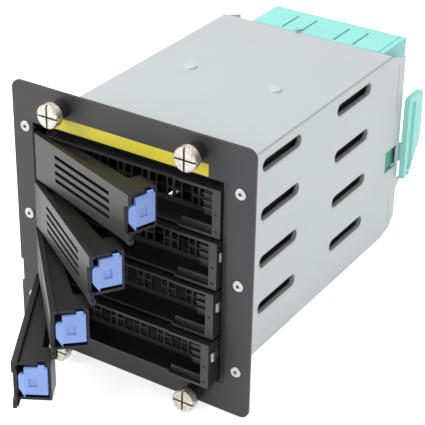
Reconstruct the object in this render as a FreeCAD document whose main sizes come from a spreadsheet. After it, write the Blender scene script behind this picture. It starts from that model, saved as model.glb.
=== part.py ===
"""Hot-swap drive cage: a black face plate with a zinc-plated sheet-steel cage behind it, four drive
trays with hinged levers and push latches, four captive thumbscrews, a backplane and a fan module.

Frame: X to the right seen from the front, Y into the cage, Z up. The origin is the centre of the four
thumbscrews on the plate's rear face, which rests against the chassis. All sizes are in millimetres.
"""
import FreeCAD, Part
import math
import os

import Sketcher

SIZES = {
    # the drive that each bay holds, and the room round it
    "drive_wide": 101.6, "drive_tall": 26.1, "drive_long": 147, "drive_gap": 1.4,
    "drive_play": 1.1, "bay_room": 3.8, "floor_gap": 0.55, "top_room": 6.45, "gauge": 1.0,
    # how far each tray is pulled out and its lever swung open, from the top bay down
    "pull_1": 1.6, "pull_2": 4.3, "pull_3": 6.7, "pull_4": 10.6,
    "open_1": 19.2, "open_2": 33.1, "open_3": 46.6, "open_4": 60.0,
    # face plate
    "plate_thick": 1.5, "plate_edge": 8.5, "plate_above": 9.3, "plate_below": 6.3,
    "plate_corner": 5.5, "notch_deep": 1.5, "notch_rise": 36, "notch_tall": 15,
    "mouth_side": 2.0, "mouth_drop": 2.9, "mouth_sill": 0.3, "mouth_corner": 1.2,
    "strip_long": 100, "strip_tall": 7.2, "strip_thick": 0.25, "strip_gap": 0.3,
    "liner_thick": 0.6, "liner_back": 0.3, "liner_sill": 0.65, "swing_gap": 0.58,
    # pop rivets
    "rivet_in": 4.6, "rivet_drop": 6.8, "rivet_lift": 11.4, "rivet_radius": 1.8,
    "rivet_head": 3.25, "rivet_dome": 1.0, "rivet_bore": 1.0, "rivet_tail": 2.5,
    "rivet_slack": 0.05,
    # captive thumbscrews
    "screw_out": 43.6, "screw_above": 10.5, "screw_below": 11.3, "screw_head": 6.9,
    "screw_head_long": 6.0, "screw_neck": 2.9, "screw_thread": 1.95, "screw_reach": 7.0,
    "screw_neck_end": 1.2, "screw_cut": 1.1, "screw_cut_deep": 1.6, "screw_edge": 0.7,
    "sleeve_long": 7.2, "sleeve_rib": 5.3, "sleeve_groove": 4.6, "sleeve_ribs": 4,
    "sleeve_bore": 3.3, "sleeve_lip": 1.0, "sleeve_neck": 4.2, "sleeve_slack": 0.05,
    "screw_gap": 0.3,
    # cage
    "top_past": 10.5, "tail_long": 20, "side_slope": 5.4, "tail_rise": 9.3, "tail_step": 2.3,
    "tail_chamfer": 6, "ear_drop": 43.8, "ear_tall": 7, "ear_out": 6.0, "bend": 0.9,
    "lap_gap": 0.15, "flange_inset": 2.4, "flange_rise": 3.4, "floor_flange": 5.4,
    "dimple_left": -31, "dimple_right": 26.7, "dimple_in": 104, "dimple_radius": 4.0,
    "dimple_rise": 1.3, "dimple_round": 1.1,
    "slot_near": 56.4, "slot_far": 37, "slot_half": 16.8, "slot_radius": 3.75,
    "slot_rise": 26.0, "slot_lip": 3.5,
    "window_in": 1.5, "window_long": 14.5, "window_room": 1.4, "seam_in": 10.8,
    "seam_wide": 0.6, "seam_deep": 0.45, "seam_drop": 9.7, "seam_long": 31, "seam_lift": 7.9,
    "seam_short": 17, "upstand": 4.4, "upstand_start": 24,
    # runners
    "arm_room": 5.0, "runner_start": 30, "runner_reach": 3.8, "runner_wall": 1.1,
    "runner_low": 3.0, "runner_ledge": 1.2, "tongue_tall": 4.6, "tongue_gap": 0.3,
    "tongue_side_gap": 0.5,
    # tray
    "tray_gap": 1.6, "left_gap": 1.4, "right_gap": 0.6, "tray_rail": 1.4, "tray_deep": 20.4,
    "tray_lip": 1.2, "tray_nose": 4.2, "bar_wide": 5.0, "bar_skin": 1.5, "bar_core": 2.2,
    "grille_thick": 1.2, "zone_past": 2.4, "low_lip_back": 1.8, "top_lip_back": 0.6,
    "lug_tall": 1.9, "barrel_room": 1.0, "arm_thick": 1.8, "arm_low": 1.0, "arm_drop": 2.8,
    "arm_short": 1.4, "strap_low": 0.8, "strap_thick": 1.6, "strap_wide": 12, "strap_in": 11.6,
    "arm_window_long": 34, "arm_window_pitch": 40.8, "arm_window_tall": 6.5, "arm_window_low": 12.0,
    "bar_pitch": 16.3, "bar_inset": 4.4, "bar_thick": 1.6, "bar_thin": 0.8, "bar_thin_at": 5.1,
    "bar_open_to": 11.6, "cell_low": 4.5, "cell_mid": 9.7, "cross_tall": 1.4,
    "cell_top_gap": 3.8, "bar_count": 6, "led_low": 4.2, "led_high": 14.0, "led_radius": 1.0,
    "led_recess": 0.4, "led_long": 17, "ridge_in": 3.4, "ridge_thick": 1.2, "ridge_high": 4.6,
    "catch_wide": 10.8, "catch_in": 9.0, "catch_low": 6.4, "catch_high": 20.6, "catch_rib": 1.2,
    "catch_rib_out": 1.4, "catch_rib_low": 10.4, "catch_rib_pitch": 4.2, "catch_ribs": 3,
    "finger_near": 2.6, "finger_far": 9.6, "finger_low": 15.0, "finger_high": 21.4,
    "finger_pocket": 0.9, "finger_thick": 0.35, "finger_rise": 1.1, "finger_margin": 0.4,
    # lever
    "pivot_in": 4.6, "pivot_deep": 5.0, "pin_radius": 1.5, "pin_slack": 0.05, "pin_inset": 0.3,
    "lever_front": 8.45, "lever_plate": 2.2, "lever_left": 6.6, "lever_long": 82.6,
    "lever_low": 0.2, "lever_over": 0.1, "lever_rim": 1.8, "lever_rim_deep": 3.2,
    "lever_notch": 4.0, "notch_from": 5.6, "notch_drop": 7.8, "notch_slant": 1.4,
    "toe_long": 4.1, "toe_past": 0.9, "toe_drop": 0.7,
    "lever_body_low": 2.3, "lever_body_drop": 2.4, "lever_wall": 1.2, "lever_edge": 0.8,
    "wall_start": 4.0, "wall_front_deep": 1.5, "wall_rear_deep": 5.5, "barrel": 4.0,
    "vent_start": 13.6, "vent_over": 1.3, "vent_drop": 6.4, "vent_pitch": 4.8, "vent_tall": 2.2,
    "vent_count": 4, "block_long": 15.0, "block_back": 3.6, "block_deep": 12.0,
    "pocket_in": 2.0, "pocket_low": 3.9, "pocket_roof": 1.5, "pocket_deep": 10.7,
    # latch
    "latch_back": 2.1, "latch_thick": 2.2, "latch_front": 2.2, "latch_rear": 10.3,
    "latch_low": 6.8, "latch_drop": 5.0, "latch_edge": 0.6, "dent_front": 0.2, "dent_rear": 4.8,
    "dent_low": 11.6, "dent_drop": 11.4, "dent_deep": 1.0, "leaf_out": 5.6, "leaf_drop": 8.0,
    "leaf_low": 4.6, "leaf_heel": 9.8, "leaf_slant": 1.6, "leaf_thick": 2.0, "leaf_round": 2.6,
    "stem_in": 4.2, "stem_front": 0.5, "stem_rear": 8.0, "stem_low": 9.0, "stem_drop": 7.2,
    "tab_front": 5.4, "tab_rear": 8.9, "tab_drop": 3.2, "tab_thick": 1.3, "tab_gap": 0.5,
    "latch_travel": 1.8,
    # backplane
    "board_thick": 1.6, "board_side": 4.0, "board_lift": 2.9, "board_drop": 2.7,
    "board_vent_wide": 92, "board_vent_tall": 12, "board_vent_rise": 12, "board_hole_in": 7.5,
    "board_hole_lift": 14.9, "board_hole_drop": 14.7, "board_hole": 1.7, "tab_wide": 9,
    "tab_tall": 9, "board_screw_head": 3.2, "board_screw_tall": 2.0, "board_screw_tail": 2.5,
    "socket_wide": 60, "socket_tall": 8.2, "socket_deep": 9.0, "socket_rise": 3.0,
    "socket_cell_wide": 53, "socket_cell_tall": 5.0, "socket_cell_deep": 7.0,
    "power_at": -42, "power_wide": 23, "power_tall": 9.5, "power_deep": 9.5, "power_gap": 12,
    "power_lift": 4.9, "power_wall": 1.3, "power_pitch": 5.08, "power_cell_deep": 7.5,
    "power_pin": 1.0, "power_pin_long": 3.0,
    "data_at": -8, "data_wide": 56, "data_tall": 9.0, "data_deep": 8.0, "data_lift": 9.4,
    "data_wall": 1.6, "data_cell_deep": 6.0,
    # fan module
    "module_gap": 0.6, "module_past": 3.1, "bracket_side": 6.35, "bracket_above": 8.4,
    "bracket_below": 7.9, "bracket_wall": 1.7, "baffle_thick": 2.0, "wing_gap": 0.5,
    "wing_skirt": 0.9, "wing_drop": 14.7, "wing_long": 14, "wing_thick": 1.6,
    "slit_wide": 1.3, "slit_in": 1.7, "slit_long": 21.4, "slit_a": -25.75, "slit_b": -12.45,
    "slit_c": 10.85, "slit_d": 24.05, "step_in": 4.0, "step_wide": 0.6, "step_deep": 0.4,
    "shelf_long": 16, "shelf_wide": 7, "shelf_gap": 0.3,
    "fan_size": 80, "fan_thick": 25.4, "fan_corner": 4.0, "fan_rim": 1.6, "fan_hole_in": 4.25,
    "fan_screw_hole": 2.2, "fan_hub": 17, "fan_strut": 3.2, "fan_strut_deep": 4.0,
    "fan_strut_seat": 1.6, "fan_screw": 1.9, "fan_screw_slack": 0.05, "fan_screw_head": 3.6,
    "fan_screw_tall": 1.8,
    "rotor_front": 1.6, "rotor_deep": 17, "rotor_hub": 16.2, "blade_count": 7,
    "blade_gap": 1.0, "blade_root_half": 4.6, "blade_tip_half": 7.2, "blade_thick": 1.5,
    "blade_root_deep": 6.6, "blade_tip_deep": 4.6, "blade_bed": 13.5,
    "shaft": 1.6, "shaft_slack": 0.06, "bearing": 6.0, "bearing_gap": 0.4,
    "guard_wire": 1.2, "guard_first": 10, "guard_inset": 2.4, "guard_rings": 5,
    "guard_eye": 3.6,
    "hinge_in": 2.4, "hinge_clear": 2.9, "hinge_back": 5.9, "hinge_barrel": 1.7,
    "hinge_pin": 0.8, "hinge_slack": 0.05, "hinge_gap": 0.4, "hinge_ear": 1.6,
    "hinge_ear_side": 2.0, "latch_arm_gap": 0.6, "latch_arm_thick": 1.4, "latch_arm_half": 6.0,
    "latch_arm_drop": 24.9, "grip_gap": 0.9, "grip_long": 20, "grip_stand": 0.9,
    "grip_thick": 3.5, "grip_web": 2.0, "grip_fall": 42.8, "grip_rise": 13.2,
    "grip_taper": 21, "grip_taper_in": 12, "grip_round": 4.0, "groove_in": 4.0,
    "groove_wide": 5.6, "groove_deep": 1.5, "groove_end": 4.5, "eye_radius": 1.0,
    "eye_rise": 2.3,
}


class Size:
    """A length that knows its number and the spreadsheet expression that gives it."""

    def __init__(self, value, text=None):
        self.value = float(value)
        self.text = text if text is not None else repr(float(value))

    @staticmethod
    def of(thing):
        return thing if isinstance(thing, Size) else Size(thing)

    def join(self, sign, other, value):
        return Size(value, f"({self.text} {sign} {Size.of(other).text})")

    def __add__(self, other):
        return self.join("+", other, self.value + Size.of(other).value)

    def __sub__(self, other):
        return self.join("-", other, self.value - Size.of(other).value)

    def __mul__(self, other):
        return self.join("*", other, self.value * Size.of(other).value)

    def __truediv__(self, other):
        return self.join("/", other, self.value / Size.of(other).value)

    def __neg__(self):
        return Size(0) - self

    def __radd__(self, other):
        return Size.of(other) + self

    def __rsub__(self, other):
        return Size.of(other) - self

    def __rmul__(self, other):
        return Size.of(other) * self


def root_of_squares(one, other):
    """The long side of a right-angled triangle, from its two short sides."""
    return Size(math.hypot(one.value, other.value), f"sqrt({one.text}^2 + {other.text}^2)")


doc = FreeCAD.newDocument("drive_cage")
sheet = doc.addObject("Spreadsheet::Sheet", "size")
for row, (name, number) in enumerate(SIZES.items(), 1):
    sheet.set(f"A{row}", name)
    sheet.set(f"B{row}", str(number))
    sheet.setAlias(f"B{row}", name)
doc.recompute()


class Sheet:
    """The spreadsheet's cells as sizes, read by their alias."""

    def __getattr__(self, name):
        return Size(SIZES[name], f"size.{name}")


size = Sheet()
ORIGIN, START, END, CENTRE = -1, 1, 2, 3
PLANES = {"top": "XY_Plane", "front": "XZ_Plane", "side": "YZ_Plane"}
nodes = []


def bind(thing, path, length):
    """Ties one property to the spreadsheet."""
    thing.setExpression(path, Size.of(length).text)


def new_body(label):
    """An empty body for one sub-part, which may hold several equal solids."""
    body = doc.addObject("PartDesign::Body", label)
    body.Label = label
    body.AllowCompound = True
    nodes.append(body)
    return body


def place(body, x=0, y=0, z=0, turn=None):
    """Puts a sub-part where it belongs, turned by an angle about the upright axis."""
    bind(body, "Placement.Base.x", x)
    bind(body, "Placement.Base.y", y)
    bind(body, "Placement.Base.z", z)
    if turn is not None:
        body.Placement.Rotation = FreeCAD.Rotation(FreeCAD.Vector(0, 0, 1), turn.value)
        bind(body, "Placement.Rotation.Angle", turn)


def pin_down(sketch, geo, point, x, y):
    """Holds a sketch point at bound distances from the sketch's origin."""
    for axis, length in (("X", Size.of(x)), ("Y", Size.of(y))):
        rule = Sketcher.Constraint(f"Distance{axis}", ORIGIN, START, geo, point, length.value)
        index = sketch.addConstraint(rule)
        bind(sketch, f"Constraints[{index}]", length)


def polygon(*corners):
    """A closed outline of straight lines through the corners, in order."""

    def draw(sketch):
        points = [FreeCAD.Vector(Size.of(x).value, Size.of(y).value, 0) for x, y in corners]
        ring = zip(points, points[1:] + points[:1])
        lines = sketch.addGeometry([Part.LineSegment(a, b) for a, b in ring], False)
        for here, there in zip(lines, lines[1:] + lines[:1]):
            sketch.addConstraint(Sketcher.Constraint("Coincident", here, END, there, START))
        for line, (x, y) in zip(lines, corners):
            pin_down(sketch, line, START, x, y)

    return draw


def rectangle(left, right, low, high):
    """A rectangle between two edges each way."""
    return polygon((left, low), (right, low), (right, high), (left, high))


def circle(x, y, radius):
    """A circle at a bound centre with a bound radius."""

    def draw(sketch):
        centre = FreeCAD.Vector(Size.of(x).value, Size.of(y).value, 0)
        ring = Part.Circle(centre, FreeCAD.Vector(0, 0, 1), Size.of(radius).value)
        geo = sketch.addGeometry(ring, False)
        pin_down(sketch, geo, CENTRE, x, y)
        index = sketch.addConstraint(Sketcher.Constraint("Radius", geo, Size.of(radius).value))
        bind(sketch, f"Constraints[{index}]", radius)

    return draw


def obround(x, y, half, radius):
    """A level slot with round ends: half is from its middle to the centre of an end."""

    def draw(sketch):
        mid_x, mid_y = Size.of(x).value, Size.of(y).value
        reach, bend = Size.of(half).value, Size.of(radius).value
        up = FreeCAD.Vector(0, 0, 1)
        ends = []
        for side, first in ((1, -math.pi / 2), (-1, math.pi / 2)):
            centre = FreeCAD.Vector(mid_x + side * reach, mid_y, 0)
            arc = Part.ArcOfCircle(Part.Circle(centre, up, bend), first, first + math.pi)
            ends.append(sketch.addGeometry(arc, False))
        right, left = ends
        edges = []
        for side in (1, -1):
            a = FreeCAD.Vector(mid_x + side * reach, mid_y + side * bend, 0)
            b = FreeCAD.Vector(mid_x - side * reach, mid_y + side * bend, 0)
            edges.append(sketch.addGeometry(Part.LineSegment(a, b), False))
        over, under = edges
        for one, at_one, two, at_two in ((right, END, over, START), (over, END, left, START),
                                         (left, END, under, START), (under, END, right, START)):
            sketch.addConstraint(Sketcher.Constraint("Tangent", one, at_one, two, at_two))
        pin_down(sketch, right, CENTRE, Size.of(x) + half, y)
        pin_down(sketch, left, CENTRE, Size.of(x) - half, y)
        index = sketch.addConstraint(Sketcher.Constraint("Radius", right, bend))
        bind(sketch, f"Constraints[{index}]", radius)

    return draw


def sketch_on(body, plane, at, shapes):
    """A sketch on one of the body's own origin planes, moved to a position along its normal."""
    sketch = body.newObject("Sketcher::SketchObject", "outline")
    base = [item for item in body.Origin.OriginFeatures if item.Role == PLANES[plane]][0]
    sketch.AttachmentSupport = (base, "")
    sketch.MapMode = "FlatFace"
    bind(sketch, "AttachmentOffset.Base.z", at)
    for draw in shapes:
        draw(sketch)
    sketch.Visibility = False
    return sketch


def extrude(body, kind, plane, low, high, shapes):
    """Pads or pockets outlines between two positions along the plane's axis."""
    low, high = Size.of(low), Size.of(high)
    start = -high if plane == "front" else low
    sketch = sketch_on(body, plane, start, shapes)
    feature = body.newObject(f"PartDesign::{kind}", kind)
    feature.Profile = sketch
    feature.Reversed = kind == "Pocket"
    bind(feature, "Length", high - low)
    return feature


def add(body, plane, low, high, *shapes):
    return extrude(body, "Pad", plane, low, high, shapes)


def cut(body, plane, low, high, *shapes):
    return extrude(body, "Pocket", plane, low, high, shapes)


def round_edges(body, radius, chosen, kind="Fillet"):
    """Rounds or chamfers the edges of the body's last feature that the test picks."""
    doc.recompute()
    last = body.Tip
    names = [f"Edge{number}" for number, edge in enumerate(last.Shape.Edges, 1) if chosen(edge)]
    if not names:
        raise ValueError(f"{body.Label}: no edge to round")
    feature = body.newObject(f"PartDesign::{kind}", kind)
    feature.Base = (last, names)
    bind(feature, "Radius" if kind == "Fillet" else "Size", radius)
    return feature


def is_line(edge, axis):
    """Whether a straight edge runs along the named axis."""
    if edge.Curve.TypeId != "Part::GeomLine":
        return False
    step = edge.Vertexes[-1].Point - edge.Vertexes[0].Point
    return abs(abs(getattr(step, axis)) - step.Length) < 1e-6


def near(value, length):
    return abs(value - Size.of(length).value) < 1e-3


# ---------------------------------------------------------------- shared places
PULLS = [size.pull_1, size.pull_2, size.pull_3, size.pull_4]
ANGLES = [size.open_1, size.open_2, size.open_3, size.open_4]
BAY_COUNT = len(PULLS)

# across the cage, from the drive outwards
ARM_IN = size.drive_wide / 2 + size.drive_gap
ARM_OUT = ARM_IN + size.arm_thick
WALL_IN = ARM_OUT + size.arm_room
WALL_OUT = WALL_IN + size.gauge
TRAY_RIGHT = WALL_IN - size.right_gap
TRAY_LEFT = WALL_IN - size.left_gap
PIVOT = TRAY_LEFT - size.pivot_in
LINER_LEFT = PIVOT + root_of_squares(size.lever_left, size.lever_front) + size.swing_gap
MOUTH_LEFT = LINER_LEFT + size.liner_thick
MOUTH_RIGHT = WALL_OUT + size.mouth_side
RIVET_OUT = MOUTH_LEFT + size.rivet_in
PLATE_HALF = RIVET_OUT + size.plate_edge
FLANGE_OUT = PLATE_HALF - size.flange_inset

# up the cage, from the bays outwards
BAY_PITCH = size.drive_tall + size.bay_room
TRAY_TALL = BAY_PITCH - size.tray_gap
CAGE_HEIGHT = size.gauge + size.floor_gap + BAY_COUNT * BAY_PITCH + size.top_room
SCREW_RISE = (CAGE_HEIGHT + size.screw_above + size.screw_below) / 2
CAGE_FLOOR = size.screw_below - SCREW_RISE
FLOOR_TOP = CAGE_FLOOR + size.gauge
CAGE_TOP = CAGE_FLOOR + CAGE_HEIGHT
SIDE_TOP = CAGE_TOP - size.gauge - size.lap_gap
PLATE_LOW = -SCREW_RISE - size.plate_below
PLATE_HIGH = SCREW_RISE + size.plate_above
MOUTH_TOP = CAGE_TOP - size.mouth_drop
MOUTH_FLOOR = CAGE_FLOOR + size.mouth_sill
BAYS = [FLOOR_TOP + size.floor_gap + step * BAY_PITCH for step in reversed(range(BAY_COUNT))]

# into the cage, from the plate's rear face
PLATE_FRONT = -size.plate_thick
JOGGLE = PLATE_FRONT + size.pivot_deep + size.lever_left + size.liner_thick
ARM_END = size.tray_deep + size.drive_long - size.arm_short
RUNNER_END = ARM_END - size.gauge
BOARD_AT = PLATE_FRONT + size.tray_deep + size.drive_long + size.drive_play + size.socket_deep
BOARD_REAR = BOARD_AT + size.board_thick
TOP_LONG = BOARD_AT + size.top_past
SIDE_LONG = TOP_LONG + size.tail_long

# rivets, screws and slots
TOP_RIVET = CAGE_TOP - size.rivet_drop
LOW_RIVET = CAGE_FLOOR + size.rivet_lift
RIVETS = [(side * RIVET_OUT, row) for side in (-1, 1)
          for row in (TOP_RIVET, (TOP_RIVET + LOW_RIVET) / 2, LOW_RIVET)]
SCREWS = [(side * size.screw_out, rise * SCREW_RISE) for rise in (1, -1) for side in (-1, 1)]
SLOTS = [(at, floor + size.slot_rise) for at in (size.slot_near, BOARD_AT - size.slot_far)
         for floor in BAYS]
BOARD_HOLE_OUT = WALL_IN - size.board_hole_in
BOARD_HOLE_ROWS = [CAGE_FLOOR + size.board_hole_lift, CAGE_TOP - size.board_hole_drop]
BOARD_HOLES = [(side * BOARD_HOLE_OUT, row) for side in (-1, 1) for row in BOARD_HOLE_ROWS]

# in a tray's own frame
TONGUE_LOW = size.runner_low + size.runner_ledge + size.tongue_gap
TONGUE_HIGH = TONGUE_LOW + size.tongue_tall
GRILLE_REAR = size.tray_deep - size.tray_lip
GRILLE_FRONT = GRILLE_REAR - size.grille_thick
BAR_LEFT = TRAY_RIGHT - size.bar_wide
LIGHT_AT = TRAY_RIGHT - size.bar_wide / 2
LEVER_ZONE = size.lever_long - PIVOT + size.zone_past

# in a lever's own frame
LEVER_HIGH = TRAY_TALL + size.lever_over
BODY_HIGH = LEVER_HIGH - size.lever_body_drop
BLOCK_END = size.lever_long - size.block_back
BLOCK_START = BLOCK_END - size.block_long
LATCH_FACE = size.lever_long - size.latch_back
LATCH_HIGH = LEVER_HIGH - size.latch_drop
POCKET_HIGH = BODY_HIGH - size.pocket_roof

# fan module
HINGE_X = WALL_IN - size.hinge_in
BRACKET_RIGHT = HINGE_X - size.hinge_clear
FAN_AT = BRACKET_RIGHT - size.bracket_side - size.fan_size / 2
BRACKET_LEFT = FAN_AT - size.fan_size / 2 - size.bracket_side
FAN_HIGH = CAGE_TOP - size.bracket_above - size.fan_size / 2
BRACKET_LOW = FAN_HIGH - size.fan_size / 2 - size.bracket_below
BRACKET_START = TOP_LONG + size.module_gap
BAFFLE = BRACKET_START + size.baffle_thick
FAN_REAR = BAFFLE + size.fan_thick
BRACKET_END = FAN_REAR + size.module_past
WING_OUT = WALL_IN - size.wing_gap
WING_LOW = BRACKET_LOW - size.wing_skirt
WING_HIGH = CAGE_TOP - size.wing_drop
FAN_BORE = size.fan_size / 2 - size.fan_rim
FAN_HOLE_OUT = size.fan_size / 2 - size.fan_hole_in
FAN_HOLES = [(FAN_AT + side * FAN_HOLE_OUT, FAN_HIGH + rise * FAN_HOLE_OUT)
             for side in (-1, 1) for rise in (-1, 1)]
FAN_MOUNT = FAN_REAR - size.fan_strut_deep
STRUT_REACH = FAN_BORE + size.fan_strut_seat
ROTOR_FRONT = BAFFLE + size.rotor_front
HINGE_Y = BRACKET_START + size.hinge_back
LATCH_ARM_AT = FAN_HIGH - size.latch_arm_drop
LATCH_ARM_LOW = LATCH_ARM_AT - size.latch_arm_half
LATCH_ARM_HIGH = LATCH_ARM_AT + size.latch_arm_half
HINGE_LOW = LATCH_ARM_LOW - size.hinge_gap
HINGE_HIGH = LATCH_ARM_HIGH + size.hinge_gap
EAR_HIGH = FAN_HIGH - size.ear_drop
EAR_LOW = EAR_HIGH - size.ear_tall


# ---------------------------------------------------------------- face plate and its fasteners
def face_plate():
    """Steel plate with the mouth for the trays, a locating notch, and rivet and screw holes."""
    body = new_body("face_plate")
    inner = size.notch_deep - PLATE_HALF
    notch = PLATE_LOW + size.notch_rise
    outline = polygon((-PLATE_HALF, PLATE_LOW), (PLATE_HALF, PLATE_LOW), (PLATE_HALF, PLATE_HIGH),
                      (-PLATE_HALF, PLATE_HIGH), (-PLATE_HALF, notch + size.notch_tall),
                      (inner, notch + size.notch_tall), (inner, notch), (-PLATE_HALF, notch))
    add(body, "front", PLATE_FRONT, 0, outline)
    cut(body, "front", PLATE_FRONT, 0,
        rectangle(-MOUTH_LEFT, MOUTH_RIGHT, MOUTH_FLOOR, MOUTH_TOP),
        *[circle(x, z, size.rivet_radius + size.rivet_slack) for x, z in RIVETS],
        *[circle(x, z, size.sleeve_neck + size.sleeve_slack) for x, z in SCREWS])

    def corner(edge):
        spot = edge.CenterOfMass
        return is_line(edge, "y") and near(abs(spot.x), PLATE_HALF) and \
            (near(spot.z, PLATE_LOW) or near(spot.z, PLATE_HIGH))

    round_edges(body, size.plate_corner, corner)
    round_edges(body, size.mouth_corner, mouth_corner)


def mouth_corner(edge):
    """Whether an edge is one of the mouth's four corners."""
    spot = edge.CenterOfMass
    return is_line(edge, "y") and (near(spot.z, MOUTH_FLOOR) or near(spot.z, MOUTH_TOP))


def mouth_liner():
    """Black moulded trim round the mouth, with a channel at its left that the levers swing in."""
    body = new_body("mouth_liner")
    add(body, "front", PLATE_FRONT + size.liner_back, 0,
        rectangle(-MOUTH_LEFT, MOUTH_RIGHT, MOUTH_FLOOR, MOUTH_TOP))
    round_edges(body, size.mouth_corner, mouth_corner)
    cut(body, "front", PLATE_FRONT + size.liner_back, 0,
        rectangle(-LINER_LEFT, WALL_IN, MOUTH_FLOOR + size.liner_sill,
                  MOUTH_TOP - size.liner_thick))
    web = JOGGLE - size.liner_thick
    add(body, "top", FLOOR_TOP, MOUTH_TOP - size.mouth_corner,
        polygon((-MOUTH_LEFT, 0), (-LINER_LEFT, 0), (-LINER_LEFT, web), (-WALL_IN, web),
                (-WALL_IN, JOGGLE), (-MOUTH_LEFT, JOGGLE)))


def yellow_strip():
    """Plain yellow strip stuck on the plate, just above the mouth."""
    body = new_body("yellow_strip")
    low = MOUTH_TOP + size.strip_gap
    add(body, "front", PLATE_FRONT - size.strip_thick, PLATE_FRONT,
        rectangle(-size.strip_long / 2, size.strip_long / 2, low, low + size.strip_tall))


def face_rivets():
    """Six hollow pop rivets that join the plate to the cage's front flanges."""
    body = new_body("face_rivets")
    rear = size.gauge + size.rivet_dome
    front = PLATE_FRONT - size.rivet_dome
    add(body, "front", PLATE_FRONT, rear, *[circle(x, z, size.rivet_radius) for x, z in RIVETS])
    add(body, "front", front, PLATE_FRONT, *[circle(x, z, size.rivet_head) for x, z in RIVETS])
    add(body, "front", size.gauge, rear, *[circle(x, z, size.rivet_tail) for x, z in RIVETS])
    cut(body, "front", front, 0, *[circle(x, z, size.rivet_bore) for x, z in RIVETS])
    round_edges(body, size.rivet_dome * 0.7,
                lambda edge: near(edge.BoundBox.YMax, front)
                and near(edge.BoundBox.XLength, size.rivet_head * 2))


def screw_sleeves():
    """Four ribbed black sleeves that hold the thumbscrews in the plate."""
    body = new_body("screw_sleeves")
    front = PLATE_FRONT - size.sleeve_long
    add(body, "front", front, PLATE_FRONT, *[circle(x, z, size.sleeve_groove) for x, z in SCREWS])
    add(body, "front", PLATE_FRONT, size.sleeve_lip,
        *[circle(x, z, size.sleeve_neck) for x, z in SCREWS])
    step = size.sleeve_long / size.sleeve_ribs
    for rib in range(SIZES["sleeve_ribs"]):
        low = front + rib * step
        add(body, "front", low, low + step / 2, *[circle(x, z, size.sleeve_rib) for x, z in SCREWS])
    cut(body, "front", front, size.sleeve_lip, *[circle(x, z, size.sleeve_bore) for x, z in SCREWS])


def thumbscrew(label, x, z):
    """Nickel-plated captive screw: a cross-slotted round head, a neck and a threaded end."""
    body = new_body(label)
    rear = -(size.sleeve_long + size.screw_gap)
    front = rear - size.screw_head_long
    edge = size.screw_edge
    profile = polygon((0, front), (size.screw_head - edge, front), (size.screw_head, front + edge),
                      (size.screw_head, rear - edge), (size.screw_head - edge, rear),
                      (size.screw_neck, rear), (size.screw_neck, size.screw_neck_end),
                      (size.screw_thread, size.screw_neck_end + edge),
                      (size.screw_thread, size.screw_reach - edge),
                      (size.screw_thread - edge, size.screw_reach), (0, size.screw_reach))
    sketch = sketch_on(body, "top", 0, [profile])
    turned = body.newObject("PartDesign::Revolution", "Revolution")
    turned.Profile = sketch
    turned.ReferenceAxis = (sketch, ["V_Axis"])
    turned.Angle = 360
    half, reach = size.screw_cut / 2, size.screw_head + size.screw_edge
    for left, right, low, high in ((-half, half, -reach, reach), (-reach, reach, -half, half)):
        cut(body, "front", front, front + size.screw_cut_deep, rectangle(left, right, low, high))
    place(body, x, PLATE_FRONT, z)


# ---------------------------------------------------------------- sheet-steel cage
def cage_top():
    """Top sheet, which laps over both side walls, with two pressed bumps."""
    body = new_body("cage_top")
    under = CAGE_TOP - size.gauge
    add(body, "top", under, CAGE_TOP, rectangle(-WALL_OUT, WALL_OUT, 0, TOP_LONG))
    round_edges(body, size.bend, lambda edge: is_line(edge, "y")
                and near(edge.CenterOfMass.z, CAGE_TOP))
    add(body, "top", under, CAGE_TOP,
        rectangle(-MOUTH_LEFT - size.gauge, -WALL_IN, 0, JOGGLE + size.gauge))
    crown = CAGE_TOP + size.dimple_rise
    add(body, "top", CAGE_TOP, crown,
        circle(size.dimple_left, size.dimple_in, size.dimple_radius),
        circle(size.dimple_right, size.dimple_in, size.dimple_radius))
    round_edges(body, size.dimple_round, lambda edge: near(edge.BoundBox.ZMin, crown))


def side_outline(start):
    """A side wall's outline, in depth and height, with its sloped and kicked-in tail."""
    tail = SIDE_LONG
    return polygon((start, CAGE_FLOOR), (TOP_LONG + size.tail_step, CAGE_FLOOR),
                   (tail - size.tail_chamfer, CAGE_FLOOR + size.tail_step),
                   (tail, CAGE_FLOOR + size.tail_rise), (tail, EAR_HIGH),
                   (tail - size.gauge, SIDE_TOP - size.side_slope),
                   (TOP_LONG, SIDE_TOP), (start, SIDE_TOP))


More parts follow.
